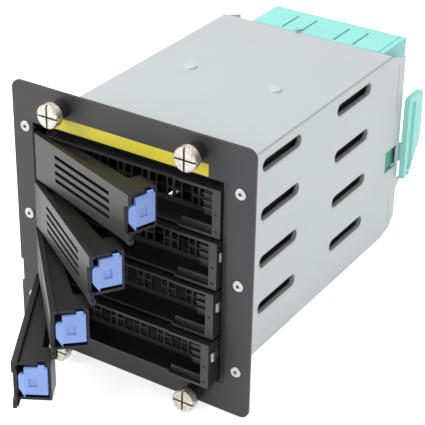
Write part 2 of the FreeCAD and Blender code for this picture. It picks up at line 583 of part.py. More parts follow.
def side_wall(label, side):
    """Zinc-plated side wall with its front flange, air slots and pressed seams."""
    body = new_body(label)
    start = 0 if side > 0 else JOGGLE

    def across(one, other):
        return (one, other) if side > 0 else (-other, -one)

    add(body, "side", *across(WALL_IN, WALL_OUT), side_outline(start))
    step = WALL_IN if side > 0 else MOUTH_LEFT
    if side < 0:
        gauge = size.gauge
        add(body, "top", CAGE_FLOOR, SIDE_TOP,
            polygon((-step - gauge, 0), (-step, 0), (-step, JOGGLE), (-WALL_IN, JOGGLE),
                    (-WALL_IN, JOGGLE + gauge), (-step - gauge, JOGGLE + gauge)))
    left, right = across(step, FLANGE_OUT)
    add(body, "front", 0, size.gauge,
        rectangle(left, right, CAGE_FLOOR + size.flange_rise, SIDE_TOP))
    cut(body, "front", 0, size.gauge, *[circle(x, z, size.rivet_radius + size.rivet_slack)
                                        for x, z in RIVETS if x.value * side > 0])
    cut(body, "side", *across(WALL_IN, WALL_OUT),
        *[obround(y, z, size.slot_half, size.slot_radius) for y, z in SLOTS])
    reach = size.latch_arm_half + size.window_room
    window = TOP_LONG + size.window_in
    cut(body, "side", *across(WALL_IN, WALL_OUT),
        rectangle(window, window + size.window_long, LATCH_ARM_AT - reach, LATCH_ARM_AT + reach))
    seam = TOP_LONG + size.seam_in
    high, low = CAGE_TOP - size.seam_drop, CAGE_FLOOR + size.seam_lift
    cut(body, "side", *across(WALL_OUT - size.seam_deep, WALL_OUT),
        rectangle(seam, seam + size.seam_wide, high - size.seam_long, high),
        rectangle(seam, seam + size.seam_wide, low, low + size.seam_short))


def slot_lips():
    """Rims of the air slots, pressed inward from the side walls."""
    body = new_body("slot_lips")
    inner = WALL_OUT - size.slot_lip
    for low, high in ((-WALL_IN, -inner), (inner, WALL_IN)):
        add(body, "side", low, high,
            *[obround(y, z, size.slot_half, size.slot_radius + size.gauge) for y, z in SLOTS])
        cut(body, "side", low, high,
            *[obround(y, z, size.slot_half, size.slot_radius) for y, z in SLOTS])


def wall_ears():
    """Small pointed ear at the tail of each side wall, in line with the sheet."""
    body = new_body("wall_ears")
    for low, high in ((-WALL_OUT, -WALL_IN), (WALL_IN, WALL_OUT)):
        add(body, "side", low, high,
            polygon((SIDE_LONG, EAR_LOW), (SIDE_LONG + size.ear_out, EAR_HIGH),
                    (SIDE_LONG, EAR_HIGH)))


def cage_floor():
    """Floor sheet with a flange bent down at the front and upstands along the side walls."""
    body = new_body("cage_floor")
    rear = TOP_LONG + size.tail_step
    add(body, "top", CAGE_FLOOR, FLOOR_TOP, rectangle(-WALL_IN, WALL_IN, 0, rear))
    add(body, "top", CAGE_FLOOR, FLOOR_TOP, rectangle(-MOUTH_LEFT, -WALL_IN, 0, JOGGLE))
    add(body, "front", 0, size.gauge,
        rectangle(-WALL_IN, WALL_IN, CAGE_FLOOR - size.floor_flange, FLOOR_TOP))
    upstand = rectangle(size.upstand_start, rear - size.upstand_start / 2, CAGE_FLOOR,
                        CAGE_FLOOR + size.upstand)
    for low, high in ((-WALL_IN, size.gauge - WALL_IN), (WALL_IN - size.gauge, WALL_IN)):
        add(body, "side", low, high, upstand)


def board_tabs():
    """Four steel tabs, welded to the side walls, that the backplane is screwed to."""
    body = new_body("board_tabs")
    half = size.tab_tall / 2
    rear = BOARD_REAR + size.gauge
    add(body, "front", BOARD_REAR, rear,
        *[rectangle(*ends, row - half, row + half) for row in BOARD_HOLE_ROWS
          for ends in ((-WALL_IN, size.tab_wide - WALL_IN), (WALL_IN - size.tab_wide, WALL_IN))])
    cut(body, "front", BOARD_REAR, rear, *[circle(x, z, size.board_hole) for x, z in BOARD_HOLES])


def module_shelves():
    """Two steel shelves, welded to the side walls, that the fan module slides in on."""
    body = new_body("module_shelves")
    shelf = WING_LOW - size.shelf_gap
    end = BRACKET_START + size.shelf_long
    add(body, "top", shelf - size.gauge, shelf,
        rectangle(-WALL_IN, size.shelf_wide - WALL_IN, BRACKET_START, end),
        rectangle(WALL_IN - size.shelf_wide, WALL_IN, BRACKET_START, end))


def runners(label, side):
    """C-shaped runners on one side wall, one for each tray's tongue."""
    body = new_body(label)
    inner = WALL_IN - size.runner_reach
    web = WALL_IN - size.runner_wall
    shapes = []
    for floor in BAYS:
        low = floor + size.runner_low
        shelf = low + size.runner_ledge
        roof = shelf + size.tongue_tall + 2 * size.tongue_gap
        high = roof + size.runner_ledge
        shapes.append(polygon((side * WALL_IN, low), (side * inner, low), (side * inner, shelf),
                              (side * web, shelf), (side * web, roof), (side * inner, roof),
                              (side * inner, high), (side * WALL_IN, high)))
    add(body, "front", size.runner_start, RUNNER_END, *shapes)


# ---------------------------------------------------------------- backplane
def backplane_board():
    """Circuit board across the rear of the bays, with a wide air vent behind each upper bay."""
    body = new_body("backplane_board")
    out = WALL_IN - size.board_side
    half = size.board_vent_wide / 2
    add(body, "front", BOARD_AT, BOARD_REAR,
        rectangle(-out, out, CAGE_FLOOR + size.board_lift, CAGE_TOP - size.board_drop))
    lows = [floor + size.board_vent_rise for floor in BAYS[:-1]]
    cut(body, "front", BOARD_AT, BOARD_REAR,
        *[rectangle(-half, half, low, low + size.board_vent_tall) for low in lows])
    cut(body, "front", BOARD_AT, BOARD_REAR,
        *[circle(x, z, size.board_hole) for x, z in BOARD_HOLES])


def drive_sockets():
    """A drive socket on the board's front for each bay, with a slot for the plug."""
    body = new_body("drive_sockets")
    front = BOARD_AT - size.socket_deep
    half, cell = size.socket_wide / 2, size.socket_cell_wide / 2
    lows = [floor + size.socket_rise for floor in BAYS]
    rim = (size.socket_tall - size.socket_cell_tall) / 2
    add(body, "front", front, BOARD_AT,
        *[rectangle(-half, half, low, low + size.socket_tall) for low in lows])
    cut(body, "front", front, front + size.socket_cell_deep,
        *[rectangle(-cell, cell, low + rim, low + rim + size.socket_cell_tall) for low in lows])


def power_sockets():
    """Two shrouded four-pin power sockets on the board's rear."""
    body = new_body("power_sockets")
    rear = BOARD_REAR + size.power_deep
    wall = size.power_wall
    left, right = size.power_at, size.power_at + size.power_wide
    first = CAGE_FLOOR + size.power_lift
    lows = [first, first + size.power_gap]
    add(body, "front", BOARD_REAR, rear,
        *[rectangle(left, right, low, low + size.power_tall) for low in lows])
    cut(body, "front", rear - size.power_cell_deep, rear,
        *[rectangle(left + wall, right - wall, low + wall, low + size.power_tall - wall)
          for low in lows])
    pins = [circle((left + right) / 2 + step * size.power_pitch, low + size.power_tall / 2,
                   size.power_pin) for low in lows for step in (-1.5, -0.5, 0.5, 1.5)]
    floor = rear - size.power_cell_deep
    add(body, "front", floor, floor + size.power_pin_long, *pins)


def data_socket():
    """Wide shrouded data socket on the board's rear."""
    body = new_body("data_socket")
    rear = BOARD_REAR + size.data_deep
    wall = size.data_wall
    left, right = size.data_at, size.data_at + size.data_wide
    low = CAGE_FLOOR + size.data_lift
    high = low + size.data_tall
    add(body, "front", BOARD_REAR, rear, rectangle(left, right, low, high))
    cut(body, "front", rear - size.data_cell_deep, rear,
        rectangle(left + wall, right - wall, low + wall, high - wall))


def backplane_screws():
    """Four screws that hold the board to the cage's tabs."""
    body = new_body("backplane_screws")
    front = BOARD_AT - size.board_screw_tall
    rear = BOARD_REAR + size.gauge + size.board_screw_tail
    add(body, "front", front, rear, *[circle(x, z, size.board_hole) for x, z in BOARD_HOLES])
    add(body, "front", front, BOARD_AT,
        *[circle(x, z, size.board_screw_head) for x, z in BOARD_HOLES])


# ---------------------------------------------------------------- trays
def tray_place(body, bay):
    """Puts a piece of a tray in its bay, pulled out as far as that tray is."""
    place(body, 0, PLATE_FRONT - PULLS[bay], BAYS[bay])


def tray_frame(body):
    """The tray's deep front frame, open in the middle, with its light bar and lever lugs."""
    left, deep, tall, rail = -TRAY_LEFT, size.tray_deep, TRAY_TALL, size.tray_rail
    nose = size.tray_nose
    add(body, "top", 0, tall, polygon((left + nose, 0), (TRAY_RIGHT, 0), (TRAY_RIGHT, deep),
                                      (left, deep), (left, nose)))
    cut(body, "front", 0, GRILLE_REAR, rectangle(-ARM_IN, BAR_LEFT, rail, tall - rail))
    rim = rail + size.tray_lip
    cut(body, "front", GRILLE_REAR, deep, rectangle(-ARM_IN, ARM_IN, rim, tall - rim))
    cut(body, "front", 0, size.pivot_deep + size.barrel + size.barrel_room,
        rectangle(left, -ARM_IN, size.lug_tall, tall - size.lug_tall))
    cut(body, "front", 0, size.low_lip_back, rectangle(left, LEVER_ZONE, 0, tall / 2))
    cut(body, "front", 0, size.top_lip_back, rectangle(left, LEVER_ZONE, tall / 2, tall))
    half = size.bar_core / 2
    cut(body, "front", size.bar_skin, deep,
        rectangle(LIGHT_AT - half, LIGHT_AT + half, rail, tall - rail))
    cut(body, "front", 0, size.bar_skin,
        *[circle(LIGHT_AT, z, size.led_radius) for z in (size.led_low, size.led_high)])
    cut(body, "front", size.finger_near, size.finger_far,
        rectangle(TRAY_RIGHT - size.finger_pocket, TRAY_RIGHT, size.finger_low,
                  size.finger_high))
    cut(body, "top", 0, tall, circle(-PIVOT, size.pivot_deep, size.pin_radius))


def tray_recess(body):
    """The ridge and the ribbed catch block in the finger recess beside the lever's free end."""
    add(body, "front", size.ridge_in, size.ridge_in + size.ridge_thick,
        rectangle(LEVER_ZONE, BAR_LEFT, size.tray_rail, size.ridge_high))
    left = BAR_LEFT - size.catch_wide
    add(body, "front", size.catch_in, GRILLE_FRONT,
        rectangle(left, BAR_LEFT, size.catch_low, size.catch_high))
    lows = [size.catch_rib_low + rib * size.catch_rib_pitch for rib in range(SIZES["catch_ribs"])]
    add(body, "front", size.catch_in - size.catch_rib_out, size.catch_in,
        *[rectangle(left, BAR_LEFT, low, low + size.catch_rib) for low in lows])


def tray_arms(body):
    """The tray's side arms, with windows, tongues for the runners and two cross straps."""
    deep = size.tray_deep
    tongue_out = WALL_IN - size.runner_wall - size.tongue_side_gap
    for side in (-1, 1):
        ends = (ARM_IN, ARM_OUT) if side > 0 else (-ARM_OUT, -ARM_IN)
        add(body, "side", *ends, rectangle(deep, ARM_END, size.arm_low, TRAY_TALL - size.arm_drop))
        ends = (ARM_OUT, tongue_out) if side > 0 else (-tongue_out, -ARM_OUT)
        add(body, "side", *ends, rectangle(deep, ARM_END, TONGUE_LOW, TONGUE_HIGH))
    half = size.arm_window_long / 2
    middles = [(deep + ARM_END) / 2 + step * size.arm_window_pitch for step in (-1, 0, 1)]
    cut(body, "side", -ARM_OUT, ARM_OUT,
        *[rectangle(middle - half, middle + half, size.arm_window_low,
                    size.arm_window_low + size.arm_window_tall) for middle in middles])
    for strap in (deep + size.strap_in, ARM_END - size.strap_in - size.strap_wide):
        add(body, "top", size.strap_low, size.strap_low + size.strap_thick,
            rectangle(-ARM_IN, ARM_IN, strap, strap + size.strap_wide))


def tray(label, bay):
    """Moulded drive carrier: a deep front frame, a finger recess and two side arms."""
    body = new_body(label)
    tray_frame(body)
    tray_recess(body)
    tray_arms(body)
    tray_place(body, bay)


def tray_grille(label, bay):
    """Barred plate across the tray's frame, seated on the frame's rear lip."""
    body = new_body(label)
    rail = size.tray_rail
    top = TRAY_TALL - size.cell_top_gap
    add(body, "front", GRILLE_FRONT, GRILLE_REAR,
        rectangle(-ARM_IN, BAR_LEFT, rail, TRAY_TALL - rail))
    at = size.bar_inset - ARM_IN
    thick, thin, cross = size.bar_thick / 2, size.bar_thin / 2, size.cross_tall / 2
    shapes = [rectangle(at + size.bar_thin_at + thin, at + size.bar_open_to, size.cell_low, top)]
    for low, high in ((size.cell_low, size.cell_mid - cross), (size.cell_mid + cross, top)):
        shapes.append(rectangle(at + thick, at + size.bar_thin_at - thin, low, high))
        shapes.append(rectangle(at + size.bar_open_to + size.bar_thin,
                                at + size.bar_pitch - thick, low, high))
    cell = cut(body, "front", GRILLE_FRONT, GRILLE_REAR, *shapes)
    pattern = body.newObject("PartDesign::LinearPattern", "LinearPattern")
    pattern.Originals = [cell]
    pattern.Direction = (cell.Profile[0], ["H_Axis"])
    bind(pattern, "Occurrences", size.bar_count)
    bind(pattern, "Length", size.bar_pitch * (size.bar_count - 1))
    body.Tip = pattern
    tray_place(body, bay)


def light_pipes(label, bay):
    """Two clear light pipes behind the holes in the tray's right bar."""
    body = new_body(label)
    add(body, "front", size.led_recess, size.led_long,
        *[circle(LIGHT_AT, z, size.led_radius) for z in (size.led_low, size.led_high)])
    tray_place(body, bay)


def spring_finger(label, bay):
    """Bowed steel contact finger in the pocket on the tray's right side."""
    body = new_body(label)
    seat = TRAY_RIGHT - size.finger_pocket
    near_end, far_end = size.finger_near + size.finger_margin, size.finger_far - size.finger_margin
    middle = (near_end + far_end) / 2
    crown = seat + size.finger_rise
    quarter = (far_end - near_end) / 6
    thick = size.finger_thick
    add(body, "top", size.finger_low + size.finger_margin, size.finger_high - size.finger_margin,
        polygon((seat, near_end), (crown, middle - quarter), (crown, middle + quarter),
                (seat, far_end), (seat, far_end - thick * 2),
                (crown - thick, middle + quarter - thick / 2),
                (crown - thick, middle - quarter + thick / 2), (seat, near_end + thick * 2)))
    tray_place(body, bay)


def lever_pin(label, bay):
    """Steel pin that the lever turns on, pressed into the tray's two lugs."""
    body = new_body(label)
    add(body, "top", size.pin_inset, TRAY_TALL - size.pin_inset,
        circle(-PIVOT, size.pivot_deep, size.pin_radius))
    tray_place(body, bay)


# ---------------------------------------------------------------- levers and latches
def lever_place(body, bay):
    """Puts a piece of a lever on its pin, swung open by that lever's angle."""
    place(body, -PIVOT, PLATE_FRONT - PULLS[bay] + size.pivot_deep, BAYS[bay], -ANGLES[bay])


def lever(label, bay):
    """Moulded lever: a vented front, tapered walls, a barrel on the pin and a latch housing."""
    body = new_body(label)
    front = -size.lever_front
    back = front + size.lever_plate
    low, high = size.lever_low, LEVER_HIGH
    end = size.lever_long
    waist = end - size.lever_notch
    slant = size.notch_slant
    notch_to = high - size.notch_drop
    add(body, "front", front, back,
        polygon((-size.lever_left, low), (end, low), (end, size.notch_from - slant),
                (waist, size.notch_from), (waist, notch_to), (end, notch_to + slant),
                (end, high), (-size.lever_left, high)))
    rim = size.lever_rim
    add(body, "front", front, front + size.lever_rim_deep,
        rectangle(-size.lever_left, end, high - rim, high),
        rectangle(-size.lever_left, end, low, low + rim))
    toe = end + size.toe_past
    add(body, "front", front, back,
        rectangle(toe - size.toe_long, toe, low - size.toe_drop, low + rim))
    wall = polygon((-size.barrel, back), (BLOCK_START, back), (BLOCK_START, size.wall_rear_deep),
                   (size.wall_start, size.wall_front_deep), (-size.barrel, 0))
    body_low = size.lever_body_low
    add(body, "top", body_low, body_low + size.lever_wall, wall)
    add(body, "top", BODY_HIGH - size.lever_wall, BODY_HIGH, wall)
    add(body, "top", body_low, BODY_HIGH, circle(0, 0, size.barrel))
    add(body, "top", body_low, BODY_HIGH, rectangle(-size.barrel, size.barrel, back, 0))
    add(body, "top", body_low, BODY_HIGH, rectangle(BLOCK_START, BLOCK_END, back, size.block_deep))
    cut(body, "side", BLOCK_START + size.pocket_in, BLOCK_END,
        rectangle(back, size.pocket_deep, size.pocket_low, POCKET_HIGH))
    tab = size.tab_gap
    cut(body, "front", size.tab_front - tab, size.tab_rear + tab,
        rectangle(BLOCK_END - size.latch_travel - tab, BLOCK_END, POCKET_HIGH, BODY_HIGH))
    cut(body, "top", body_low, BODY_HIGH, circle(0, 0, size.pin_radius + size.pin_slack))
    half = size.vent_tall / 2
    vents = []
    for step in range(SIZES["vent_count"]):
        middle = high - size.vent_drop - step * size.vent_pitch
        vents.append(rectangle(size.vent_start, BLOCK_START + size.vent_over, middle - half,
                               middle + half))
    cut(body, "front", front, back, *vents)
    round_edges(body, size.lever_edge, lambda edge: is_line(edge, "z")
                and near(edge.CenterOfMass.x, -size.lever_left))
    lever_place(body, bay)


def latch(label, bay):
    """Blue push latch in the lever's end: a face with a finger dent, a leaf and a guide stem."""
    body = new_body(label)
    face = LATCH_FACE
    root = face - size.latch_thick
    top = LATCH_HIGH
    add(body, "side", root, face,
        rectangle(-size.latch_front, size.latch_rear, size.latch_low, top))
    tip, crown = size.leaf_low, top - size.leaf_drop + size.leaf_slant + size.leaf_round
    inner, outer = -size.latch_front, -size.leaf_out
    slant, thick = size.leaf_slant, size.leaf_thick
    add(body, "top", tip, crown,
        polygon((face, inner), (face - slant, outer), (face - slant - thick, outer),
                (face - thick, inner)))
    cut(body, "side", face - slant - thick, face,
        polygon((inner, tip), (outer, size.leaf_heel), (outer, tip)))
    round_edges(body, size.leaf_round, lambda edge: near(edge.BoundBox.YMax, outer)
                and near(edge.BoundBox.ZMin, crown) and near(edge.BoundBox.YLength, 0))
    add(body, "side", face - size.tab_thick, face,
        rectangle(size.tab_front, size.tab_rear, top, LEVER_HIGH - size.tab_drop))
    add(body, "side", BLOCK_START + size.stem_in, root,
        rectangle(size.stem_front, size.stem_rear, size.stem_low, LEVER_HIGH - size.stem_drop))
    cut(body, "side", face - size.dent_deep, face,
        rectangle(size.dent_front, size.dent_rear, size.dent_low, LEVER_HIGH - size.dent_drop))
    round_edges(body, size.latch_edge, lambda edge: near(edge.BoundBox.XMin, face)
                and near(edge.BoundBox.YMin, size.latch_rear))
    lever_place(body, bay)


# ---------------------------------------------------------------- fan module
def fan_bracket():
    """Green moulded module: a box round the fan, a baffle across the cage and two side wings."""
    body = new_body("fan_bracket")
    wall = size.bracket_wall
    add(body, "front", BRACKET_START, BRACKET_END,
        rectangle(BRACKET_LEFT, BRACKET_RIGHT, BRACKET_LOW, CAGE_TOP))
    add(body, "front", BRACKET_START, BAFFLE, rectangle(-WING_OUT, WING_OUT, WING_LOW, WING_HIGH))
    inner = WING_OUT - size.wing_thick
    end = BRACKET_START + size.wing_long
    ear_under = HINGE_LOW - size.hinge_ear
    ear_over = HINGE_HIGH + size.hinge_ear
    add(body, "side", -WING_OUT, -inner, rectangle(BRACKET_START, end, WING_LOW, WING_HIGH))
    add(body, "side", inner, WING_OUT, rectangle(BRACKET_START, end, WING_LOW, ear_under))
    ear = rectangle(HINGE_X - size.hinge_ear_side, WING_OUT, BRACKET_START,
                    HINGE_Y + size.hinge_barrel)
    add(body, "top", ear_under, HINGE_LOW, ear)
    add(body, "top", HINGE_HIGH, ear_over, ear)
    cut(body, "top", ear_under, ear_over, circle(HINGE_X, HINGE_Y, size.hinge_pin))
    cut(body, "front", BAFFLE, BRACKET_END,
        rectangle(BRACKET_LEFT + wall, BRACKET_RIGHT - wall, BRACKET_LOW + wall, CAGE_TOP - wall))
    cut(body, "front", BRACKET_START, BAFFLE, circle(FAN_AT, FAN_HIGH, FAN_BORE),
        *[circle(x, z, size.fan_screw + size.fan_screw_slack) for x, z in FAN_HOLES])
    near_end, half = BRACKET_START + size.slit_in, size.slit_wide / 2
    slits = [rectangle(FAN_AT + at - half, FAN_AT + at + half, near_end, near_end + size.slit_long)
             for at in (size.slit_a, size.slit_b, size.slit_c, size.slit_d)]
    cut(body, "top", CAGE_TOP - wall, CAGE_TOP, *slits)
    step = BRACKET_RIGHT - size.step_in
    cut(body, "top", CAGE_TOP - size.step_deep, CAGE_TOP,
        rectangle(step, step + size.step_wide, BRACKET_START, BRACKET_END))


def fan_housing():
    """Square black fan frame with a round duct and corner holes."""
    body = new_body("fan_housing")
    half = size.fan_size / 2
    add(body, "front", BAFFLE, FAN_REAR,
        rectangle(FAN_AT - half, FAN_AT + half, FAN_HIGH - half, FAN_HIGH + half))
    round_edges(body, size.fan_corner, lambda edge: is_line(edge, "y"))
    cut(body, "front", BAFFLE, FAN_REAR, circle(FAN_AT, FAN_HIGH, FAN_BORE),
        *[circle(x, z, size.fan_screw_hole) for x, z in FAN_HOLES])
    strut = size.fan_strut / 2 + size.fan_screw_slack
    cut(body, "front", FAN_MOUNT, FAN_REAR,
        rectangle(FAN_AT - STRUT_REACH, FAN_AT + STRUT_REACH, FAN_HIGH - strut, FAN_HIGH + strut),
        rectangle(FAN_AT - strut, FAN_AT + strut, FAN_HIGH - STRUT_REACH, FAN_HIGH + STRUT_REACH))


def fan_mount():
    """Motor mount: a round hub with the shaft's bearing, held in the duct by four struts."""
    body = new_body("fan_mount")
    strut = size.fan_strut / 2
    reach = STRUT_REACH - size.fan_screw_slack
    add(body, "front", FAN_MOUNT, FAN_REAR, circle(FAN_AT, FAN_HIGH, size.fan_hub))
    add(body, "front", FAN_MOUNT, FAN_REAR,
        rectangle(FAN_AT - reach, FAN_AT + reach, FAN_HIGH - strut, FAN_HIGH + strut))
    add(body, "front", FAN_MOUNT, FAN_REAR,
        rectangle(FAN_AT - strut, FAN_AT + strut, FAN_HIGH - reach, FAN_HIGH + reach))
    bearing = ROTOR_FRONT + size.rotor_deep + size.bearing_gap
    add(body, "front", bearing, FAN_MOUNT, circle(FAN_AT, FAN_HIGH, size.bearing))
    cut(body, "front", bearing, FAN_REAR, circle(FAN_AT, FAN_HIGH, size.shaft + size.shaft_slack))


def fan_rotor():
    """Fan rotor: a round hub with seven twisted blades and a shaft in the bearing."""
    body = new_body("fan_rotor")
    add(body, "front", 0, size.rotor_deep, circle(0, 0, size.rotor_hub))
    add(body, "front", size.rotor_deep, FAN_REAR - ROTOR_FRONT, circle(0, 0, size.shaft))
    middle = size.rotor_deep / 2
    thick = size.blade_thick
    sections = []
    for at, half, deep in ((size.blade_bed, size.blade_root_half, size.blade_root_deep),
                           (FAN_BORE - size.blade_gap, size.blade_tip_half, size.blade_tip_deep)):
        sections.append(sketch_on(body, "side", at, [
            polygon((middle - deep, -half), (middle - deep + thick, -half),
                    (middle + deep, half), (middle + deep - thick, half))]))
    blade = body.newObject("PartDesign::AdditiveLoft", "blade")
    blade.Profile = sections[0]
    blade.Sections = [sections[1]]
    blade.Ruled = True
    pattern = body.newObject("PartDesign::PolarPattern", "blades")
    pattern.Originals = [blade]
    pattern.Axis = (body.Origin.OriginFeatures[1], [""])
    pattern.Angle = 360
    bind(pattern, "Occurrences", size.blade_count)
    body.Tip = pattern
    place(body, FAN_AT, ROTOR_FRONT, FAN_HIGH)


def fan_guard():
    """Steel wire guard on the fan's rear: rings, two crossing spokes and four eyes."""
    body = new_body("fan_guard")
    wire = size.guard_wire
    far_end = FAN_REAR + wire
    half = wire / 2
    step = (FAN_BORE - size.guard_inset - size.guard_first) / (size.guard_rings - 1)
    rings = []
    for ring in range(SIZES["guard_rings"]):
        radius = size.guard_first + ring * step
        rings += [circle(FAN_AT, FAN_HIGH, radius + half), circle(FAN_AT, FAN_HIGH, radius - half)]
    add(body, "front", FAN_REAR, far_end, *rings)
    lean = half * math.sqrt(0.5)
    arm = FAN_HOLE_OUT
    for side in (-1, 1):
        add(body, "front", FAN_REAR, far_end,
            polygon((FAN_AT - arm - side * lean, FAN_HIGH - side * arm + lean),
                    (FAN_AT - arm + side * lean, FAN_HIGH - side * arm - lean),
                    (FAN_AT + arm + side * lean, FAN_HIGH + side * arm - lean),
                    (FAN_AT + arm - side * lean, FAN_HIGH + side * arm + lean)))
    add(body, "front", FAN_REAR, far_end, *[circle(x, z, size.guard_eye) for x, z in FAN_HOLES])
    cut(body, "front", FAN_REAR, far_end,
        *[circle(x, z, size.fan_screw + size.fan_screw_slack) for x, z in FAN_HOLES])


def fan_screws():
    """Four screws through the guard and the fan into the module's baffle."""
    body = new_body("fan_screws")
    seat = FAN_REAR + size.guard_wire
    add(body, "front", BRACKET_START, seat + size.fan_screw_tall,
        *[circle(x, z, size.fan_screw) for x, z in FAN_HOLES])
    add(body, "front", seat, seat + size.fan_screw_tall,
        *[circle(x, z, size.fan_screw_head) for x, z in FAN_HOLES])


def hinge_pin():
    """Steel pin of the fan module's latch arm, pressed into the module's two ears."""
    body = new_body("fan_latch_pin")
    add(body, "top", HINGE_LOW - size.hinge_ear, HINGE_HIGH + size.hinge_ear,
        circle(HINGE_X, HINGE_Y, size.hinge_pin))


def fan_latch():
    """Green latch arm on a pin inside the right wall, with a channelled grip behind the wall."""
    body = new_body("fan_latch")
    low, high = LATCH_ARM_LOW, LATCH_ARM_HIGH
    outer = WALL_IN - size.latch_arm_gap
    inner = outer - size.latch_arm_thick
    start = SIDE_LONG + size.grip_gap
    web = start + size.grip_web
    grip_in = WALL_OUT + size.grip_stand
    grip_out = grip_in + size.grip_thick
    add(body, "top", low, high, rectangle(inner, outer, HINGE_Y, web))
    add(body, "top", low, high, circle(HINGE_X, HINGE_Y, size.hinge_barrel))
    add(body, "top", low, high, rectangle(inner, grip_out, start, web))
    cut(body, "top", low, high, circle(HINGE_X, HINGE_Y, size.hinge_pin + size.hinge_slack))
    bottom, top = FAN_HIGH - size.grip_fall, FAN_HIGH + size.grip_rise
    far_end = start + size.grip_long
    add(body, "side", grip_in, grip_out,
        polygon((start, bottom), (far_end - size.grip_taper_in, bottom),
                (far_end, bottom + size.grip_taper), (far_end, top), (start, top)))
    round_edges(body, size.grip_round, lambda edge: is_line(edge, "x")
                and near(edge.CenterOfMass.z, top))
    groove = start + size.groove_in
    cut(body, "side", grip_out - size.groove_deep, grip_out,
        rectangle(groove, groove + size.groove_wide, bottom + size.groove_end,
                  top - size.groove_end),
        circle(groove + size.groove_in / 2, bottom + size.eye_rise, size.eye_radius))


face_plate()
mouth_liner()
yellow_strip()
face_rivets()
screw_sleeves()
for number, (x, z) in enumerate(SCREWS, 1):
    thumbscrew(f"thumbscrew_{number}", x, z)
cage_top()
side_wall("side_left", -1)
side_wall("side_right", 1)
slot_lips()
wall_ears()
cage_floor()
board_tabs()
module_shelves()
runners("runners_left", -1)
runners("runners_right", 1)
backplane_board()
drive_sockets()
power_sockets()
data_socket()
backplane_screws()
for bay in range(BAY_COUNT):
    tray(f"tray_{bay + 1}", bay)
    tray_grille(f"tray_grille_{bay + 1}", bay)
    lever_pin(f"lever_pin_{bay + 1}", bay)
    light_pipes(f"light_pipes_{bay + 1}", bay)
    spring_finger(f"spring_finger_{bay + 1}", bay)
    lever(f"lever_{bay + 1}", bay)
    latch(f"latch_{bay + 1}", bay)
fan_bracket()
fan_housing()
fan_mount()
fan_rotor()
fan_guard()
fan_screws()
hinge_pin()
fan_latch()

doc.recompute()
failed = [item.Label for item in doc.Objects if set(item.State) & {"Invalid", "Error"}]
if failed:
    raise RuntimeError(f"failed features: {failed}")
for body in nodes:
    if body.Shape.isNull() or not body.Shape.isValid():
        raise RuntimeError(f"bad shape: {body.Label}")
os.makedirs("parts", exist_ok=True)
for body in nodes:
    body.Shape.exportStep(f"parts/{body.Label}.step")
    print(body.Label, len(body.Shape.Solids), round(body.Shape.Volume, 1))
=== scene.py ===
import math

import bmesh
import bpy
from mathutils import Matrix, Vector


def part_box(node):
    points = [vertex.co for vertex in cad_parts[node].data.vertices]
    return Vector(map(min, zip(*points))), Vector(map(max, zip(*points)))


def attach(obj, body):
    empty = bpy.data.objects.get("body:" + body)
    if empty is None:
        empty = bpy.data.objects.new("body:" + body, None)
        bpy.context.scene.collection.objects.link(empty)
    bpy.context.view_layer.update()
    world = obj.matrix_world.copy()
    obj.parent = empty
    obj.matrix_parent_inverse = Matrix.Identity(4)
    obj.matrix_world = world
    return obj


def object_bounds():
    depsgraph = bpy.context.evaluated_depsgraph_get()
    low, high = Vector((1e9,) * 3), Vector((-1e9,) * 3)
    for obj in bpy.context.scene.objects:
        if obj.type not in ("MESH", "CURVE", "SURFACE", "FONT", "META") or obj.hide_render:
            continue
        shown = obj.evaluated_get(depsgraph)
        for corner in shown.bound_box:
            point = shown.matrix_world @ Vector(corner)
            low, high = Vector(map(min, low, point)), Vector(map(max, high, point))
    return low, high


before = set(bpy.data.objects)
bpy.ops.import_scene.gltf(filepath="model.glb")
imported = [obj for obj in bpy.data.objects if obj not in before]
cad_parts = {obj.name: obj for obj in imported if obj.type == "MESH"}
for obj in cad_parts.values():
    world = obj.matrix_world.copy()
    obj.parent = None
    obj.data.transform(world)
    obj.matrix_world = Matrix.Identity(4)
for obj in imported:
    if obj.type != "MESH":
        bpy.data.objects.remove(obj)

cad_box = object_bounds()

# ---- Camera
# A long lens from the front right, a little above the cage, with a slight roll. The frame is
# square, so one angle sets both sides of the view.
view_angle = 16.463
eye_place = (0.40481, -0.55978, 0.41220)
look = Vector((-0.46516, 0.73749, -0.48962)).normalized()
across = Vector((0.84080, 0.54110, 0.01624))
across = (across - look * across.dot(look)).normalized()
upward = across.cross(look)
lens = bpy.data.cameras.new("camera")
lens.sensor_fit = "HORIZONTAL"
lens.angle = math.radians(view_angle)
lens.clip_end = 10
eye = bpy.data.objects.new("camera", lens)
eye.matrix_world = (Matrix.Translation(eye_place)
                    @ Matrix((across, upward, -look)).transposed().to_4x4())
bpy.context.scene.collection.objects.link(eye)
bpy.context.scene.camera = eye
bpy.context.scene.view_settings.view_transform = "Standard"


